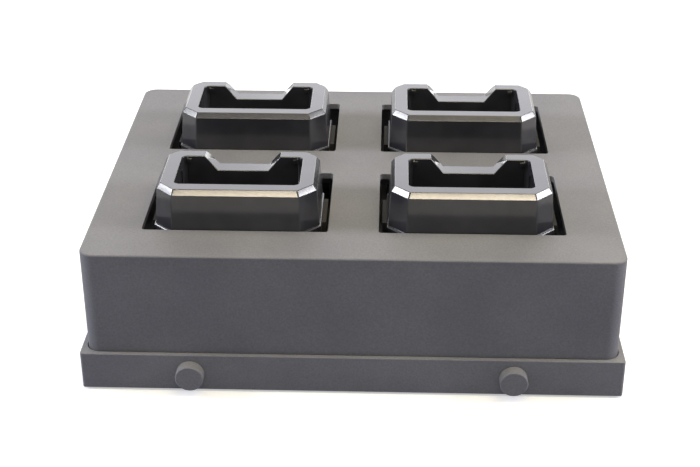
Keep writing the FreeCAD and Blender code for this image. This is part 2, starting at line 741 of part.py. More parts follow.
    # Screw bridges between the pocket's wall and the outer skin, drilled from below
    bridges = sketch(body, f"{name}_bridge_outline", level="bridge_clear")
    drillings = sketch(body, f"{name}_pilot_outline")
    for i, j in CORNERS:
        wide = f"({BODY_X} - pocket_wide / 2 - skin)"
        rectangle(bridges, wide, "bridge_long", f"{i} * {BRIDGE_X}", f"{j} * bridge_y")
        circle(drillings, "screw_radius", f"{i} * {BRIDGE_X}", f"{j} * bridge_y")
    pad(body, f"{name}_bridges", bridges, "bridge_tall")
    pocket(body, f"{name}_pilots", drillings, "bridge_clear + screw_bite + 1", reverse=True)

    # Guide ribs on the pocket's side walls, and a nub at each end of its rear wall
    guides = sketch(body, f"{name}_guide_outline", level=POCKET_FLOOR)
    for i, j in CORNERS:
        rectangle(guides, "guide_proud + 1", "guide_wide", f"{i} * (pocket_wide / 2 + (1 - guide_proud) / 2)",
                  f"{j} * guide_y")
    pad(body, f"{name}_guides", guides, "pocket_depth - guide_drop")
    nubs = sketch(body, f"{name}_nub_outline", level=f"{RIM} - nub_drop - nub_tall")
    for i in (-1, 1):
        rectangle(nubs, "nub_wide", "nub_proud + 1", f"{i} * nub_x", "pocket_deep / 2 + (1 - nub_proud) / 2")
    pad(body, f"{name}_nubs", nubs, "nub_tall")

    # An ear on each side of the body, a little below the deck, that keeps the charger central in its opening
    ears = sketch(body, f"{name}_ear_outline", level=f"deck_top - ear_drop - ear_tall - {CHARGER_SEAT}")
    for i in (-1, 1):
        rectangle(ears, "ear_proud + 1", "ear_long", f"{i} * ({BODY_X} + (ear_proud - 1) / 2)", "ear_back")
    pad(body, f"{name}_ears", ears, "ear_tall")

    pins = sketch(body, f"{name}_contact_holes", level=POCKET_FLOOR)
    for i in (-1, 1):
        circle(pins, "contact_radius + running_gap", f"{i} * contact_x")
    pocket(body, f"{name}_contact_bores", pins, "skin + 1")
    return keep(body, f"charger_shell_{name}")


def charger_base(name, side, row):
    """The plate that closes the charger from below and carries its board."""
    x, y = bay_place(side, row)
    inward = 1 if row == "opening_front" else -1
    body = new_body(f"base_{name}")
    place(body, x, y, "carrier_top")
    plate = sketch(body, f"{name}_base_outline")
    octagon(plate, BODY_X, BODY_Y, "shoulder_corner", "shoulder_back_corner")
    pad(body, f"{name}_base_plate", plate, "charger_floor")
    posts = sketch(body, f"{name}_board_posts", level="charger_floor - 0.5")
    for i, j in CORNERS:
        circle(posts, "post_radius", f"{i} * (board_wide / 2 - post_inset)",
               f"{j} * (board_deep / 2 - post_inset)")
    pad(body, f"{name}_posts", posts, "board_stand + 0.5")
    holes = sketch(body, f"{name}_base_holes")
    circle(holes, "lead_hole", "0", f"{inward} * lead_inset")
    for i, j in CORNERS:
        circle(holes, "screw_radius + 0.2", f"{i} * {BRIDGE_X}", f"{j} * bridge_y")
    pocket(body, f"{name}_base_drillings", holes, "charger_floor + 1", reverse=True)
    return keep(body, f"charger_base_{name}")


def charger_board(name, side, row):
    """The charging board with its chips, coil and lead terminal soldered on."""
    x, y = bay_place(side, row)
    inward = 1 if row == "opening_front" else -1
    seat = f"({CHARGER_SEAT} + board_stand)"
    top = f"({seat} + board_thick)"
    board = box(f"{name}_board_blank", "board_wide", "board_deep", "board_thick", x, y, seat)
    chip = box(f"{name}_chip", "chip_side", "chip_side", "chip_tall", f"{x} - chip_x", f"{y} + chip_y",
               f"{top} - soldered")
    coil = rod(f"{name}_coil", "coil_radius", "coil_tall", f"{x} + chip_x", f"{y} - chip_y",
               f"{top} - soldered")
    terminal_y = f"{inward} * (board_deep / 2 - terminal_deep)"
    terminal = box(f"{name}_terminal", "terminal_wide", "terminal_deep", "terminal_deep", x,
                   f"{y} + {terminal_y}", f"{top} - soldered")
    return keep(join(f"{name}_board", [board, chip, coil, terminal]), f"charger_board_{name}")


def contact_block(name, side, row):
    """The block that the two contact pins slide in, between the board and the pocket's floor."""
    x, y = bay_place(side, row)
    seat = f"({CHARGER_SEAT} + {BLOCK_SEAT})"
    block = box(f"{name}_block_blank", "block_wide", "block_deep", BLOCK_TALL, x, y, seat)
    tools = []
    for i, sign in ((-1, "minus"), (1, "plus")):
        bore_low = f"{seat} + block_floor"
        tools.append(rod(f"{name}_bore_{sign}", "flange_radius + running_gap",
                         f"{STEP_LEVEL} - {BLOCK_SEAT} - block_floor", f"{x} + {i} * contact_x", y, bore_low))
        tools.append(rod(f"{name}_neck_{sign}", "contact_radius + running_gap", f"{BLOCK_TALL} - block_floor",
                         f"{x} + {i} * contact_x", y, f"{bore_low} + 0.1"))
    return keep(cut(f"{name}_block", block, tools), f"contact_block_{name}")


def contact(name, side, row, i, sign):
    """One sprung contact: a domed pin with a flange, and the coil spring below it."""
    x, y = bay_place(side, row)
    spot = f"{x} + {i} * contact_x"
    flange_low = f"({CHARGER_SEAT} + {STEP_LEVEL} - stop_gap - flange_tall)"
    flange = rod(f"{name}_flange_{sign}", "flange_radius", "flange_tall", spot, y, flange_low)
    shank_tall = f"({POCKET_FLOOR} + contact_proud - contact_radius - {STEP_LEVEL} + stop_gap + flange_tall)"
    shank = rod(f"{name}_shank_{sign}", "contact_radius", shank_tall, spot, y, flange_low)
    dome = doc.addObject("Part::Sphere", f"{name}_dome_{sign}")
    bind(dome, Radius="contact_radius")
    place(dome, spot, y, f"{flange_low} + {shank_tall}")
    keep(join(f"{name}_pin_{sign}", [flange, shank, dome]), f"contact_pin_{name}_{sign}")

    spring_low = f"({CHARGER_SEAT} + {BLOCK_SEAT} + block_floor + spring_wire)"
    coil = doc.addObject("Part::Helix", f"{name}_helix_{sign}")
    bind(coil, Pitch="spring_pitch", Height=f"{flange_low} - {spring_low} - spring_wire",
         Radius="flange_radius - 2 * spring_wire")
    wire = doc.addObject("Part::Circle", f"{name}_wire_{sign}")
    bind(wire, Radius="spring_wire")
    place(wire, "flange_radius - 2 * spring_wire", "0", "0")
    wire.Placement.Rotation = FreeCAD.Rotation(Vector(1, 0, 0), 90)
    spring = doc.addObject("Part::Sweep", f"{name}_spring_{sign}")
    spring.Sections = [wire]
    spring.Spine = (coil, ["Edge1"])
    spring.Solid = True
    spring.Frenet = True
    place(spring, spot, y, spring_low)
    keep(spring, f"contact_spring_{name}_{sign}")


def charger_screws():
    """Four screws under each charger, through the carrier plate and the base into the bridges."""
    bite = "carrier_thick + charger_floor + bridge_clear + screw_bite"
    screws = []
    for name, side, row in BAYS:
        x, y = bay_place(side, row)
        for number, (i, j) in enumerate(CORNERS):
            screws.append(screw(f"{name}_screw_{number}", f"{x} + {i} * {BRIDGE_X}", f"{y} + {j} * bridge_y",
                                "carrier_top - carrier_thick", bite, head_up=False))
    return keep(group("screws_of_chargers", screws), "charger_screws")


# ---- Latches

def latch(side, name):
    """A round knob and shaft in one, with a cam held on the shaft's end by a screw."""
    x = f"{side} * knob_x"
    knob_face = f"({FRONT_FACE} - knob_proud)"
    head = rod(f"knob_{name}_head", "knob_radius", "knob_proud - face_gap", x, knob_face, "knob_level", "Y")
    bevelled = doc.addObject("Part::Chamfer", f"knob_{name}_bevel")
    doc.recompute()
    bevelled.Base = head
    front_edge = [n for n, e in enumerate(head.Shape.Edges, start=1)
                  if len(e.Vertexes) == 1 and abs(e.CenterOfMass.y - head.Placement.Base.y) < 0.01][0]
    bevelled.Edges = [(front_edge, size("knob_edge"), size("knob_edge"))]
    shaft = rod(f"knob_{name}_shaft", "shaft_radius", f"{CAM_FACE} + cam_thick - {knob_face} - 1", x,
                f"{knob_face} + 1", "knob_level", "Y")
    bore = rod(f"knob_{name}_bore", "cam_screw_radius", "cam_screw_bite + 2", x,
               f"{CAM_FACE} + cam_thick - cam_screw_bite - 1", "knob_level", "Y")
    keep(cut(f"knob_{name}", join(f"knob_{name}_blank", [bevelled, shaft]), [bore]), f"latch_knob_{name}")

    arm = box(f"cam_{name}_arm", "cam_reach", "cam_thick", "2 * cam_half", f"{x} + cam_reach / 2",
              f"{CAM_FACE} + cam_thick / 2", "knob_level - cam_half")
    hub = rod(f"cam_{name}_hub", "shaft_radius + 1.4", "cam_thick", x, CAM_FACE, "knob_level", "Y")
    eye = rod(f"cam_{name}_eye", "shaft_radius", "cam_thick + 2", x, f"{CAM_FACE} - 1", "knob_level", "Y")
    keep(cut(f"cam_{name}", join(f"cam_{name}_blank", [arm, hub]), [eye]), f"latch_cam_{name}")

    head_seat = f"({CAM_FACE} + cam_thick)"
    washer = rod(f"cam_screw_{name}_head", "shaft_radius + 1", "screw_head_tall", x, head_seat,
                 "knob_level", "Y")
    shank = rod(f"cam_screw_{name}_shank", "cam_screw_radius", "cam_screw_bite + soldered", x,
                f"{head_seat} - cam_screw_bite", "knob_level", "Y")
    keep(join(f"cam_screw_{name}", [washer, shank]), f"cam_screw_{name}")


# ---- Power board, socket and leads

def power_board():
    top = f"({MAIN_SEAT} + board_thick)"
    board = box("main_blank", "main_wide", "main_deep", "board_thick", "0", MAIN_Y, MAIN_SEAT)
    fittings = [board]
    for number, (i, j) in enumerate(CORNERS):
        fittings.append(box(f"main_plug_{number}", "plug_long", "plug_wide", "plug_tall + soldered",
                            f"{i} * (main_wide / 2 - plug_long / 2)", f"{MAIN_Y} + {j} * {LEAD_Y}",
                            f"{top} - soldered"))
    fittings.append(box("main_inlet_plug", "plug_wide", "plug_long", "plug_tall + soldered", "socket_x / 2",
                        f"{MAIN_Y} + main_deep / 2 - plug_long / 2", f"{top} - soldered"))
    for number, i in enumerate((-1, 1)):
        fittings.append(rod(f"main_capacitor_{number}", "capacitor_radius", "capacitor_tall",
                            f"{i} * capacitor_x", f"{MAIN_Y} + capacitor_y", f"{top} - soldered"))
    fittings.append(box("main_regulator", "regulator_wide", "regulator_deep", "regulator_tall", "0",
                        f"{MAIN_Y} - capacitor_x", f"{top} - soldered"))
    holes = []
    for number, (i, j) in enumerate(CORNERS):
        holes.append(rod(f"main_hole_{number}", "screw_radius + 0.2", "board_thick + 2",
                         f"{i} * (main_wide / 2 - main_inset)",
                         f"{MAIN_Y} + {j} * (main_deep / 2 - main_inset)", f"{MAIN_SEAT} - 1"))
    return keep(cut("main_board", join("main_populated", fittings), holes), "power_board")


def power_socket():
    """A panel socket for a barrel plug, in the tray's rear wall, with its nut inside."""
    back = "(cover_deep / 2 + seam_gap + rim_wall)"
    flange = rod("socket_flange_disc", "socket_flange", "socket_proud", "socket_x", back, "socket_level", "Y")
    barrel = rod("socket_barrel", "socket_radius", "socket_body", "socket_x", f"{back} - socket_body",
                 "socket_level", "Y")
    mouth = rod("socket_mouth", "socket_bore", "socket_bore_deep", "socket_x",
                f"{back} + socket_proud - socket_bore_deep", "socket_level", "Y")
    pin = rod("socket_centre_pin", "socket_pin", "socket_bore_deep - 1", "socket_x",
              f"{back} + socket_proud - socket_bore_deep - 0.5", "socket_level", "Y")
    shell = cut("socket_shell", join("socket_blank", [flange, barrel]), [mouth])
    keep(join("socket", [shell, pin]), "power_socket")

    nut = doc.addObject("Part::Prism", "nut_blank")
    nut.Polygon = 6
    bind(nut, Circumradius="nut_radius", Height="nut_thick")
    place(nut, "socket_x", f"{back} - rim_wall - nut_thick", "socket_level")
    nut.Placement.Rotation = FreeCAD.Rotation(Vector(1, 0, 0), -90)
    thread = rod("nut_thread", "socket_radius", "nut_thick + 2", "socket_x",
                 f"{back} - rim_wall - nut_thick - 1", "socket_level", "Y")
    return keep(cut("nut", nut, [thread]), "socket_nut")


def tube(name, points, radius):
    """A lead as straight runs joined by tangent arcs, each arc as large as its two runs allow."""
    edges = []
    start = points[0]
    for before, corner, after in zip(points, points[1:], points[2:]):
        back = (before - corner).normalize()
        ahead = (after - corner).normalize()
        half_turn = (math.pi - back.getAngle(ahead)) / 2
        trim = 0.45 * min((before - corner).Length, (after - corner).Length)
        bend = trim / math.tan(half_turn)
        entry = corner + back * trim
        leave = corner + ahead * trim
        centre = corner + (back + ahead).normalize() * (bend / math.cos(half_turn))
        middle = centre + (corner - centre).normalize() * bend
        print(f"{name}: bend radius {bend:.1f} mm")
        edges += [Part.LineSegment(start, entry).toShape(), Part.Arc(entry, middle, leave).toShape()]
        start = leave
    edges.append(Part.LineSegment(start, points[-1]).toShape())
    path = Part.Wire(edges)
    section = Part.Wire([Part.Circle(points[0], points[1] - points[0], radius).toShape()])
    solid = path.makePipeShell([section], True, False)
    lead = doc.addObject("Part::Feature", name)
    lead.Shape = solid
    expected = math.pi * radius ** 2 * path.Length
    print(f"{name}: volume {solid.Volume:.1f}, section times length {expected:.1f}")
    return keep(lead, name)


def leads():
    """Each charger's lead drops through the carrier plate and turns in to the power board."""
    floor_top = size("foot_stand") + size("tray_floor")
    main_top = floor_top + size("main_stand") + size("board_thick")
    level = main_top + size("plug_tall") / 2
    board_under = size("carrier_top") + size("charger_floor") + size("board_stand")
    for name, side, row in BAYS:
        inward = 1 if row == "opening_front" else -1
        y = size(row) - size("cup_forward") + inward * size("lead_inset")
        x = side * size("cup_x")
        tube(f"charger_lead_{name}", [Vector(x, y, board_under), Vector(x, y, level),
                                      Vector(side * size("main_wide") / 2, y, level)], size("lead_radius"))
    x = size("socket_x")
    back = size("cover_deep") / 2 + size("seam_gap") + size("rim_wall") - size("socket_body")
    middle = (size("opening_front") + size("opening_rear")) / 2 - size("cup_forward")
    end = middle + size("main_deep") / 2
    step = (back - end) / 4
    tube("supply_lead", [Vector(x, back, size("socket_level")), Vector(x, back - step, size("socket_level")),
                         Vector(x / 2, end + step, level), Vector(x / 2, end, level)], size("lead_radius"))


def lead_clips():
    """A saddle on the tray's floor under each charger lead's level run."""
    clips = []
    for number, (_, side, row) in enumerate(BAYS):
        inward = 1 if row == "opening_front" else -1
        x = f"{side} * (main_wide / 2 + plug_long)"
        y = f"{row} - cup_forward + {inward} * lead_inset"
        block = box(f"clip_{number}_blank", "clip_long", "2 * (lead_radius + clip_wall)",
                    f"{LEAD_LEVEL} + lead_radius - {FLOOR_TOP}", x, y, FLOOR_TOP)
        groove = doc.addObject("Part::Cylinder", f"clip_{number}_groove")
        bind(groove, Radius="lead_radius + 0.1", Height="clip_long + 2")
        place(groove, f"{x} - clip_long / 2 - 1", y, LEAD_LEVEL)
        groove.Placement.Rotation = FreeCAD.Rotation(Vector(0, 1, 0), 90)
        mouth = box(f"clip_{number}_mouth", "clip_long + 2", "2 * lead_radius * 0.8", "lead_radius + 2", x, y,
                    LEAD_LEVEL)
        clips.append(cut(f"clip_{number}", block, [groove, mouth]))
    return keep(group("clips", clips), "lead_clips")


def board_screws():
    screws = []
    for number, (i, j) in enumerate(CORNERS):
        screws.append(screw(f"main_screw_{number}", f"{i} * (main_wide / 2 - main_inset)",
                            f"{MAIN_Y} + {j} * (main_deep / 2 - main_inset)",
                            f"{MAIN_SEAT} + board_thick", "board_thick + main_screw_bite"))
    return keep(group("screws_of_board", screws), "board_screws")


def pillar_screws():
    """Screws up through the tray's floor, and screws down through the carrier plate, into the pillars."""
    low_seat = "(foot_stand + screw_head_tall + 0.2)"
    low_bite = f"{FLOOR_TOP} + pillar_boss - {low_seat} + screw_bite"
    low = [screw(f"tray_screw_{n}", x, y, low_seat, low_bite, head_up=False)
           for n, (x, y) in enumerate(pillar_spots())]
    keep(group("screws_of_tray", low), "tray_screws")
    high = [screw(f"carrier_screw_{n}", x, y, "carrier_top", "carrier_thick + screw_bite")
            for n, (x, y) in enumerate(pillar_spots())]
    return keep(group("screws_of_carrier", high), "carrier_screws")


base_tray()
top_cover()
rubber_feet()
carrier_pillars()
carrier_plate()
for bay, bay_side, bay_row in BAYS:
    charger_shell(bay, bay_side, bay_row)
    charger_base(bay, bay_side, bay_row)
    charger_board(bay, bay_side, bay_row)
    contact_block(bay, bay_side, bay_row)
    contact(bay, bay_side, bay_row, -1, "minus")
    contact(bay, bay_side, bay_row, 1, "plus")
charger_screws()
latch(-1, "left")
latch(1, "right")
power_board()
power_socket()
leads()
lead_clips()
board_screws()
pillar_screws()
doc.recompute()

for thing in doc.Objects:
    if "Invalid" in thing.State or "Error" in thing.State:
        raise RuntimeError(f"{thing.Label} failed: {thing.State}")
for before, after in cuts:
    if after.Shape.Volume >= before.Shape.Volume - 1e-6:
        raise RuntimeError(f"{after.Label} removed nothing")
for piece in pieces:
    if piece.Shape.isNull() or not piece.Shape.isValid():
        raise RuntimeError(f"{piece.Label} has no valid shape")

os.makedirs("parts", exist_ok=True)
for piece in pieces:
    piece.Shape.exportStep(f"parts/{piece.Label}.step")
print(len(pieces), "sub-parts written")
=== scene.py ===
import json
import math

import bmesh
import bpy
from mathutils import Matrix, Vector


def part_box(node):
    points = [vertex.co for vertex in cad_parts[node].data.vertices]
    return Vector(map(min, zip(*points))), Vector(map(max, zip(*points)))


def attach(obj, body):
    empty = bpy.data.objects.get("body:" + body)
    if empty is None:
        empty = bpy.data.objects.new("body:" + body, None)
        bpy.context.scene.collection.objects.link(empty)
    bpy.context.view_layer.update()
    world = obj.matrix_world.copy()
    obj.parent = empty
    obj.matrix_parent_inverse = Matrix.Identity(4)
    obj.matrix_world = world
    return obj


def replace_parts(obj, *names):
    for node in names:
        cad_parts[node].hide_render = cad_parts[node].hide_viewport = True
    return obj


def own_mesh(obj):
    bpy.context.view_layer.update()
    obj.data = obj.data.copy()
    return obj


# Four-bay charging station: a grey printed box in its tray, with four glossy black chargers.
# Metres, +Z up; the front is -Y.

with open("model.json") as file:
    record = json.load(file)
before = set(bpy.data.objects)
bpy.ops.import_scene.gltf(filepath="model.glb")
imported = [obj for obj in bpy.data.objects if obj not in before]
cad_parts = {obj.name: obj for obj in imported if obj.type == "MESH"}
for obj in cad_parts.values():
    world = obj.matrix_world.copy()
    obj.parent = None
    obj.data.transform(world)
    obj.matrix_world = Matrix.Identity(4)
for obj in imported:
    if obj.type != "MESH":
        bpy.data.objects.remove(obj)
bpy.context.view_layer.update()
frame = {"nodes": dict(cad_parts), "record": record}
MM = 0.001
BAYS = ("front_left", "front_right", "rear_left", "rear_right")
SIDES = ("left", "right")
FOOT_RADIUS = 8.0 * MM
FOOT_DISH_RIM = 2.0 * MM
FOOT_DISH_DEEP = 0.5 * MM
FOOT_EDGE = 0.5 * MM
EAR_PROUD = 2.2 * MM
TRAY_EDGE = 0.35 * MM
SHARP_ANGLE = math.radians(35)
CORNER_ANGLE = math.radians(40)
FLAT_ANGLE = math.radians(0.4)
WELD = 0.0005 * MM


# ---- Materials

def linear(code):
    """A six-figure sRGB hex colour as linear red, green, blue and alpha."""
    channels = [int(code[i:i + 2], 16) / 255 for i in (0, 2, 4)]
    return [c / 12.92 if c <= 0.04045 else ((c + 0.055) / 1.055) ** 2.4 for c in channels] + [1.0]


def per_mm(length):
    """The texture scale at which one feature is that many millimetres across."""
    return 1 / (length * MM)


def add(tree, kind, settings=None, **inputs):
    """One node with its settings. Its inputs are values, or sockets to link; _ stands for a space."""
    made = tree.nodes.new(kind)
    for name, value in (settings or {}).items():
        setattr(made, name, value)
    for name, value in inputs.items():
        key = int(name[1:]) if name[0] == "i" and name[1:].isdigit() else name.replace("_", " ")
        if isinstance(value, bpy.types.NodeSocket):
            tree.links.new(value, made.inputs[key])
        else:
            made.inputs[key].default_value = value
    return made


def start(name, **inputs):
    """A material with its shader, and the Object coordinates its patterns read."""
    material = bpy.data.materials.new(name)
    material.use_nodes = True
    tree = material.node_tree
    tree.nodes.clear()
    shader = add(tree, "ShaderNodeBsdfPrincipled", **inputs)
    add(tree, "ShaderNodeOutputMaterial", Surface=shader.outputs["BSDF"])
    place = add(tree, "ShaderNodeTexCoord").outputs["Object"]
    return material, tree, shader, place


def noise(tree, place, size_mm, detail=2.0, roughness=0.5):
    return add(tree, "ShaderNodeTexNoise", Vector=place, Scale=per_mm(size_mm), Detail=detail,
               Roughness=roughness).outputs["Fac"]


def blend_colours(tree, factor, dark, light, low=0.35, high=0.65):
    """Two colours mixed by a pattern, between the pattern's values low and high."""
    ramp = add(tree, "ShaderNodeValToRGB", Fac=factor)
    ramp.color_ramp.elements[0].position = low
    ramp.color_ramp.elements[0].color = linear(dark)
    ramp.color_ramp.elements[1].position = high
    ramp.color_ramp.elements[1].color = linear(light)
    return ramp.outputs["Color"]


def spread(tree, factor, low, high):
    """A pattern from 0 to 1 carried over to the range from low to high."""
    return add(tree, "ShaderNodeMapRange", Value=factor, To_Min=low, To_Max=high).outputs["Result"]


def printed_nylon(name, dark, light):
    """Laser-sintered PA12, dyed grey: a dry, powdery face that scatters light and shows a fine grain."""
    material, tree, shader, place = start(name, IOR=1.53, Specular_IOR_Level=0.25)
    # Grain of 0.1 mm powder, drawn at 0.9 mm so that it shows
    grain = noise(tree, place, 0.9, detail=3.0, roughness=0.7)
    # Dye takes unevenly over a few centimetres
    cloud = noise(tree, place, 38, detail=3.0)
    tone = blend_colours(tree, cloud, dark, light)
    speck = blend_colours(tree, grain, "DCDCDC", "FFFFFF", 0.3, 0.7)
    mixed = add(tree, "ShaderNodeMix", {"data_type": "RGBA", "blend_type": "MULTIPLY"},
                i0=0.8, i6=tone, i7=speck)
    tree.links.new(mixed.outputs[2], shader.inputs["Base Color"])
    tree.links.new(spread(tree, cloud, 0.56, 0.66), shader.inputs["Roughness"])
    bump = add(tree, "ShaderNodeBump", Height=grain, Strength=0.35, Distance=0.12 * MM)
    tree.links.new(bump.outputs["Normal"], shader.inputs["Normal"])
    return material


def glossy_black():
    """Injection-moulded black ABS from a polished tool: a clear gloss over a faint moulding ripple."""
    material, tree, shader, place = start("ABS, gloss moulded black", IOR=1.54)
    ripple = noise(tree, place, 14, detail=1.0)
    haze = noise(tree, place, 2.2, detail=4.0, roughness=0.6)
    tone = blend_colours(tree, ripple, "2F2F33", "38383C")
    tree.links.new(tone, shader.inputs["Base Color"])
    tree.links.new(spread(tree, haze, 0.1, 0.2), shader.inputs["Roughness"])
    bump = add(tree, "ShaderNodeBump", Height=ripple, Strength=0.12, Distance=0.25 * MM)
    tree.links.new(bump.outputs["Normal"], shader.inputs["Normal"])
    return material


def satin_black():
    """Injection-moulded black ABS from a spark-eroded tool: an even satin with a fine texture."""
    material, tree, shader, place = start("ABS, satin moulded black", IOR=1.54)
    texture = noise(tree, place, 0.7, detail=3.0, roughness=0.65)
    tone = blend_colours(tree, texture, "2A2A2D", "343438")
    tree.links.new(tone, shader.inputs["Base Color"])
    tree.links.new(spread(tree, texture, 0.42, 0.55), shader.inputs["Roughness"])
    bump = add(tree, "ShaderNodeBump", Height=texture, Strength=0.3, Distance=0.06 * MM)
    tree.links.new(bump.outputs["Normal"], shader.inputs["Normal"])
    return material


def black_sheet():
    """Extruded ABS sheet: matt, near black, with a leather-fine roller texture."""
    material, tree, shader, place = start("ABS sheet, roller textured", IOR=1.54)
    cells = add(tree, "ShaderNodeTexVoronoi", Vector=place, Scale=per_mm(1.1)).outputs["Distance"]
    tone = blend_colours(tree, cells, "38383B", "444448", 0.1, 0.7)
    tree.links.new(tone, shader.inputs["Base Color"])
    tree.links.new(spread(tree, cells, 0.55, 0.7), shader.inputs["Roughness"])
    bump = add(tree, "ShaderNodeBump", Height=cells, Strength=0.4, Distance=0.08 * MM)
    tree.links.new(bump.outputs["Normal"], shader.inputs["Normal"])
    return material


def rubber():
    """Moulded nitrile rubber: soft matt black with a bloom of dust in its texture."""
    material, tree, shader, place = start("nitrile rubber, moulded", IOR=1.52)
    texture = noise(tree, place, 0.8, detail=4.0, roughness=0.7)
    tone = blend_colours(tree, texture, "1B1B1B", "2B2A29")
    tree.links.new(tone, shader.inputs["Base Color"])
    tree.links.new(spread(tree, texture, 0.75, 0.92), shader.inputs["Roughness"])
    bump = add(tree, "ShaderNodeBump", Height=texture, Strength=0.4, Distance=0.1 * MM)
    tree.links.new(bump.outputs["Normal"], shader.inputs["Normal"])
    return material


def metal(name, dark, light, rough, size_mm):
    """A plated or drawn metal: its colour and gloss vary with the crystals or the wear of the plating."""
    material, tree, shader, place = start(name, Metallic=1.0)
    grain = noise(tree, place, size_mm, detail=3.0, roughness=0.6)
    tree.links.new(blend_colours(tree, grain, dark, light), shader.inputs["Base Color"])
    tree.links.new(spread(tree, grain, rough - 0.08, rough + 0.08), shader.inputs["Roughness"])
    bump = add(tree, "ShaderNodeBump", Height=grain, Strength=0.15, Distance=0.03 * MM)
    tree.links.new(bump.outputs["Normal"], shader.inputs["Normal"])
    return material


def circuit_board():
    """Glass-epoxy board under green solder mask, with paler copper runs below the mask."""
    material, tree, shader, place = start("glass epoxy, green solder mask", IOR=1.5, Roughness=0.28)
    tracks = add(tree, "ShaderNodeTexBrick", Vector=place, Scale=per_mm(6), Mortar_Size=0.08,
                 Color1=linear("1E5A33"), Color2=linear("1B5230"), Mortar=linear("2F7A48"))
    weave = noise(tree, place, 0.6, detail=2.0)
    tree.links.new(tracks.outputs["Color"], shader.inputs["Base Color"])
    bump = add(tree, "ShaderNodeBump", Height=weave, Strength=0.15, Distance=0.03 * MM)
    tree.links.new(bump.outputs["Normal"], shader.inputs["Normal"])
    return material


def glass_filled_nylon():
    """Moulded nylon with chopped glass: dark grey, with pale fibre flecks at the skin."""
    material, tree, shader, place = start("glass-filled nylon, moulded", IOR=1.53)
    flecks = noise(tree, place, 0.5, detail=5.0, roughness=0.8)
    tree.links.new(blend_colours(tree, flecks, "2E2E30", "4A4A4C", 0.45, 0.75), shader.inputs["Base Color"])
    tree.links.new(spread(tree, flecks, 0.5, 0.65), shader.inputs["Roughness"])
    return material


def lead_jacket():
    """Soft PVC jacket: black, slightly greasy gloss, with faint extrusion lines."""
    material, tree, shader, place = start("PVC jacket, extruded", IOR=1.53)
    lines = noise(tree, place, 1.5, detail=2.0)
    tree.links.new(blend_colours(tree, lines, "141414", "1E1E1E"), shader.inputs["Base Color"])
    tree.links.new(spread(tree, lines, 0.38, 0.5), shader.inputs["Roughness"])
    return material


FINISHES = {
    "printed_nylon": printed_nylon("sintered nylon, dyed grey", "79797E", "828286"),
    "glossy_black": glossy_black(),
    "black_abs": satin_black(),
    "black_sheet": black_sheet(),
    "rubber": rubber(),
    "plated_steel": metal("steel, zinc plated", "A9ACB0", "C9CCD0", 0.32, 1.2),
    "plated_brass": metal("brass, nickel plated", "B4AFA5", "CFCBC2", 0.26, 1.5),
    "gold_contact": metal("beryllium copper, gold plated", "D9A646", "F0C468", 0.2, 0.8),
    "spring_steel": metal("spring steel, drawn", "8C8E92", "ACAEB2", 0.3, 0.4),
    "circuit_board": circuit_board(),
    "contact_block": glass_filled_nylon(),
    "lead_jacket": lead_jacket(),
}
SLOT_OF = {entry["node"]: entry["material_slot"] for entry in frame["record"]["subparts"]}
BODIES = frame["record"]["behaviour"]["bodies"]
BODY_OF = {node: body for body, members in BODIES.items() for node in members}

# The tray and its knobs are the cover's nylon, a shade paler
PALE_NYLON = printed_nylon("sintered nylon, dyed pale grey", "828287", "8C8C90")


def dress(thing, slot):
    """Give a piece the finish of one material slot."""
    thing.data.materials.clear()
    thing.data.materials.append(FINISHES[slot])


for node_name, node_object in frame["nodes"].items():
    dress(node_object, SLOT_OF[node_name])


# ---- Pieces

def piece_from(bm, name, slot, body):
    """A finished piece from a bmesh in the row's frame: smooth, with its sharp edges marked."""
    mesh = bpy.data.meshes.new(name)
    bm.to_mesh(mesh)
    bm.free()
    mesh.shade_smooth()
    mesh.set_sharp_from_angle(angle=SHARP_ANGLE)
    made = bpy.data.objects.new(name, mesh)
    bpy.context.scene.collection.objects.link(made)
    dress(made, slot)
    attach(made, body)
    return made


def merged(node):
    """A copy of a CAD node's mesh with its triangles welded, and its flat faces made whole again."""
    bm = bmesh.new()
    bm.from_mesh(frame["nodes"][node].data)
    bmesh.ops.remove_doubles(bm, verts=bm.verts, dist=WELD)
    bmesh.ops.dissolve_limit(bm, angle_limit=FLAT_ANGLE, verts=bm.verts, edges=bm.edges)
    return bm


def refined(node, name, break_edge=0.0, level=0.0):
    """A copy of a CAD node, shaded smooth over its rounds. Its sharp edges at one level may be broken."""
    bm = merged(node)
    if break_edge:
        edges = [e for e in bm.edges if e.is_manifold and e.calc_face_angle() > CORNER_ANGLE
                 and all(abs(vert.co.z - level) < 0.05 * MM for vert in e.verts)]
        bmesh.ops.bevel(bm, geom=edges, offset=break_edge, offset_type="OFFSET", segments=2, profile=0.5,
                        affect="EDGES", clamp_overlap=True, material=-1)
    made = piece_from(bm, name, SLOT_OF[node], BODY_OF[node])
    evened = made.modifiers.new("even normals", "WEIGHTED_NORMAL")
    evened.keep_sharp = True
    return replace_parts(made, node)


def roughen_ears(charger):
    """The ears beside a charger's body are matt, like rubber, where the rest of the shell is glossy."""
    charger.data.materials.append(FINISHES["rubber"])
    across = [vert.co.x for vert in charger.data.vertices]
    reach = EAR_PROUD + 0.1 * MM
    for face in charger.data.polygons:
        if face.center.x < min(across) + reach or face.center.x > max(across) - reach:
            face.material_index = 1


tray = refined("base_tray", "tray", TRAY_EDGE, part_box("base_tray")[1].z)
refined("top_cover", "cover")
for bay in BAYS:
    roughen_ears(refined(f"charger_shell_{bay}", f"charger_{bay}"))
knobs = [refined(f"latch_knob_{side}", f"knob_{side}") for side in SIDES]
for pale in [tray] + knobs:
    pale.data.materials[0] = PALE_NYLON


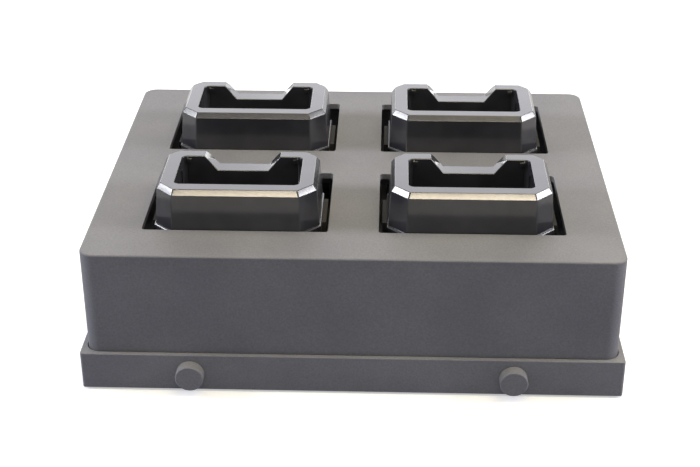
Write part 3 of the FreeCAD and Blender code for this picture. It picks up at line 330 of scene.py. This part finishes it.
def foot_mesh(tall, middle):
    """One moulded foot on the axis: a disc, rounded at the top, with a shallow dish underneath."""
    bm = bmesh.new()
    made = bmesh.ops.create_cone(bm, cap_ends=True, segments=48, radius1=FOOT_RADIUS, radius2=FOOT_RADIUS,
                                 depth=tall, matrix=Matrix.Translation((0, 0, middle)))
    faces = dict.fromkeys(face for vert in made["verts"] for face in vert.link_faces)
    under = [face for face in faces if face.normal.z < -0.9]
    bmesh.ops.inset_region(bm, faces=under, thickness=FOOT_DISH_RIM)
    sunk = list(dict.fromkeys(vert for face in under for vert in face.verts))
    bmesh.ops.translate(bm, verts=sunk, vec=(0, 0, FOOT_DISH_DEEP))
    rim = [edge for vert in made["verts"] for edge in vert.link_edges if edge.is_valid]
    outer = list(dict.fromkeys(
        edge for edge in rim if abs(edge.verts[0].co.z - edge.verts[1].co.z) < 1e-6
        and all(vert.co.xy.length > FOOT_RADIUS - 0.1 * MM for vert in edge.verts)))
    bmesh.ops.bevel(bm, geom=outer, offset=FOOT_EDGE, offset_type="OFFSET", segments=3, profile=0.5,
                    affect="EDGES", clamp_overlap=True, material=-1)
    foot = bpy.data.meshes.new("foot")
    bm.to_mesh(foot)
    bm.free()
    return foot


def rubber_feet():
    """Five feet, one in the middle. One is made and repeated, so that its faces keep their order."""
    low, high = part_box("rubber_feet")
    across, along = high.x - FOOT_RADIUS, high.y - FOOT_RADIUS
    foot = foot_mesh(high.z - low.z, (low.z + high.z) / 2)
    bm = bmesh.new()
    for x, y in [(0, 0)] + [(i * across, j * along) for i in (-1, 1) for j in (-1, 1)]:
        first = len(bm.verts)
        bm.from_mesh(foot)
        bm.verts.ensure_lookup_table()
        bmesh.ops.translate(bm, verts=bm.verts[first:], vec=(x, y, 0))
    bpy.data.meshes.remove(foot)
    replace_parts(piece_from(bm, "feet", "rubber", "housing"), "rubber_feet")


rubber_feet()


def contact_spring(bay, sign):
    """A coil copied from its CAD node, welded and shaded smooth, with a mesh of its own."""
    node = f"contact_spring_{bay}_{sign}"
    coil = piece_from(merged(node), f"spring_{bay}_{sign}", SLOT_OF[node], BODY_OF[node])
    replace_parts(coil, node)
    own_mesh(coil)


for bay in BAYS:
    for sign in ("minus", "plus"):
        contact_spring(bay, sign)


# ---- Floor, light and camera

def stage_floor():
    bm = bmesh.new()
    bmesh.ops.create_grid(bm, x_segments=1, y_segments=1, size=4)
    mesh = bpy.data.meshes.new("floor")
    bm.to_mesh(mesh)
    bm.free()
    floor = bpy.data.objects.new("floor", mesh)
    bpy.context.scene.collection.objects.link(floor)
    # The paper sends back less light than it shows, so that the walls above it keep their tone
    material, tree, shader, place = start("studio paper, pale", Roughness=0.9)
    bounce = add(tree, "ShaderNodeLightPath").outputs["Is Diffuse Ray"]
    tone = add(tree, "ShaderNodeMix", {"data_type": "RGBA"},
               i0=bounce, i6=linear("E8E8E8"), i7=linear("70768C"))
    tree.links.new(tone.outputs[2], shader.inputs["Base Color"])
    seen = add(tree, "ShaderNodeLightPath").outputs["Is Camera Ray"]
    shader.inputs["Emission Color"].default_value = linear("FFFFFF")
    tree.links.new(spread(tree, seen, 0.0, 0.45), shader.inputs["Emission Strength"])
    mesh.materials.append(material)


def softbox(name, spot, aim, wide, tall, watts, tint, gloss_only=False):
    lamp = bpy.data.lights.new(name, "AREA")
    lamp.shape = "RECTANGLE"
    lamp.size = wide
    lamp.size_y = tall
    lamp.energy = watts
    lamp.color = linear(tint)[:3]
    holder = bpy.data.objects.new(name, lamp)
    holder.location = spot
    holder.visible_camera = False
    holder.visible_diffuse = not gloss_only
    holder.rotation_euler = (Vector(aim) - Vector(spot)).to_track_quat("-Z", "Y").to_euler()
    bpy.context.scene.collection.objects.link(holder)


def world_light(diffuse_strength, fill):
    """White to the camera, to gloss and through glass, and a dimmer, cooler fill to everything else."""
    world = bpy.data.worlds.new("studio")
    bpy.context.scene.world = world
    world.use_nodes = True
    tree = world.node_tree
    tree.nodes.clear()
    path = add(tree, "ShaderNodeLightPath")
    seen = add(tree, "ShaderNodeMath", {"operation": "MAXIMUM"}, i0=path.outputs["Is Camera Ray"],
               i1=path.outputs["Is Glossy Ray"])
    seen = add(tree, "ShaderNodeMath", {"operation": "MAXIMUM"}, i0=seen.outputs[0],
               i1=path.outputs["Is Transmission Ray"])
    strength = add(tree, "ShaderNodeMapRange", Value=seen.outputs[0], To_Min=diffuse_strength, To_Max=1.0)
    tone = add(tree, "ShaderNodeMix", {"data_type": "RGBA"},
               i0=seen.outputs[0], i6=linear(fill), i7=linear("FFFFFF"))
    sky = add(tree, "ShaderNodeBackground", Color=tone.outputs[2], Strength=strength.outputs["Result"])
    add(tree, "ShaderNodeOutputWorld", Surface=sky.outputs["Background"])


def camera():
    data = bpy.data.cameras.new("camera")
    data.lens = 71.6
    data.sensor_width = 36
    holder = bpy.data.objects.new("camera", data)
    holder.location = (0.0167, -0.675, 0.3919)
    aim = Vector((-0.0032, -0.0238, 0.045))
    holder.rotation_euler = (aim - holder.location).to_track_quat("-Z", "Y").to_euler()
    bpy.context.scene.collection.objects.link(holder)
    bpy.context.scene.camera = holder


stage_floor()
world_light(0.35, "E2E8FF")
softbox("overhead", (0.2, -0.15, 1.05), (0, 0.0, 0.05), 1.0, 0.7, 7.2, "FFECAA")
softbox("rear_wall", (0.0, 1.9, 1.05), (0, 0, 0.09), 3.6, 1.1, 26, "F6F6FF")
softbox("left_panel", (-1.37, -0.05, 0.72), (0, -0.05, 0.09), 0.5, 0.3, 15, "F6F8FF")
softbox("right_panel", (1.37, -0.05, 0.72), (0, -0.05, 0.09), 0.5, 0.3, 14, "FAF8FF")
# These three are for gloss alone: they draw the bright lines along the chargers' bevels
softbox("front_strip", (0.1, -1.16, 1.11), (0, -0.05, 0.09), 0.9, 0.13, 10, "FFEFD2", gloss_only=True)
softbox("left_line", (-0.92, 1.76, 0.2), (0, 0, 0.09), 0.5, 0.4, 3.0, "FFFFFF", gloss_only=True)
softbox("right_line", (0.92, 1.76, 0.2), (0, 0, 0.09), 0.5, 0.4, 3.0, "FFFFFF", gloss_only=True)
camera()

scene = bpy.context.scene
scene.view_settings.view_transform = "Standard"
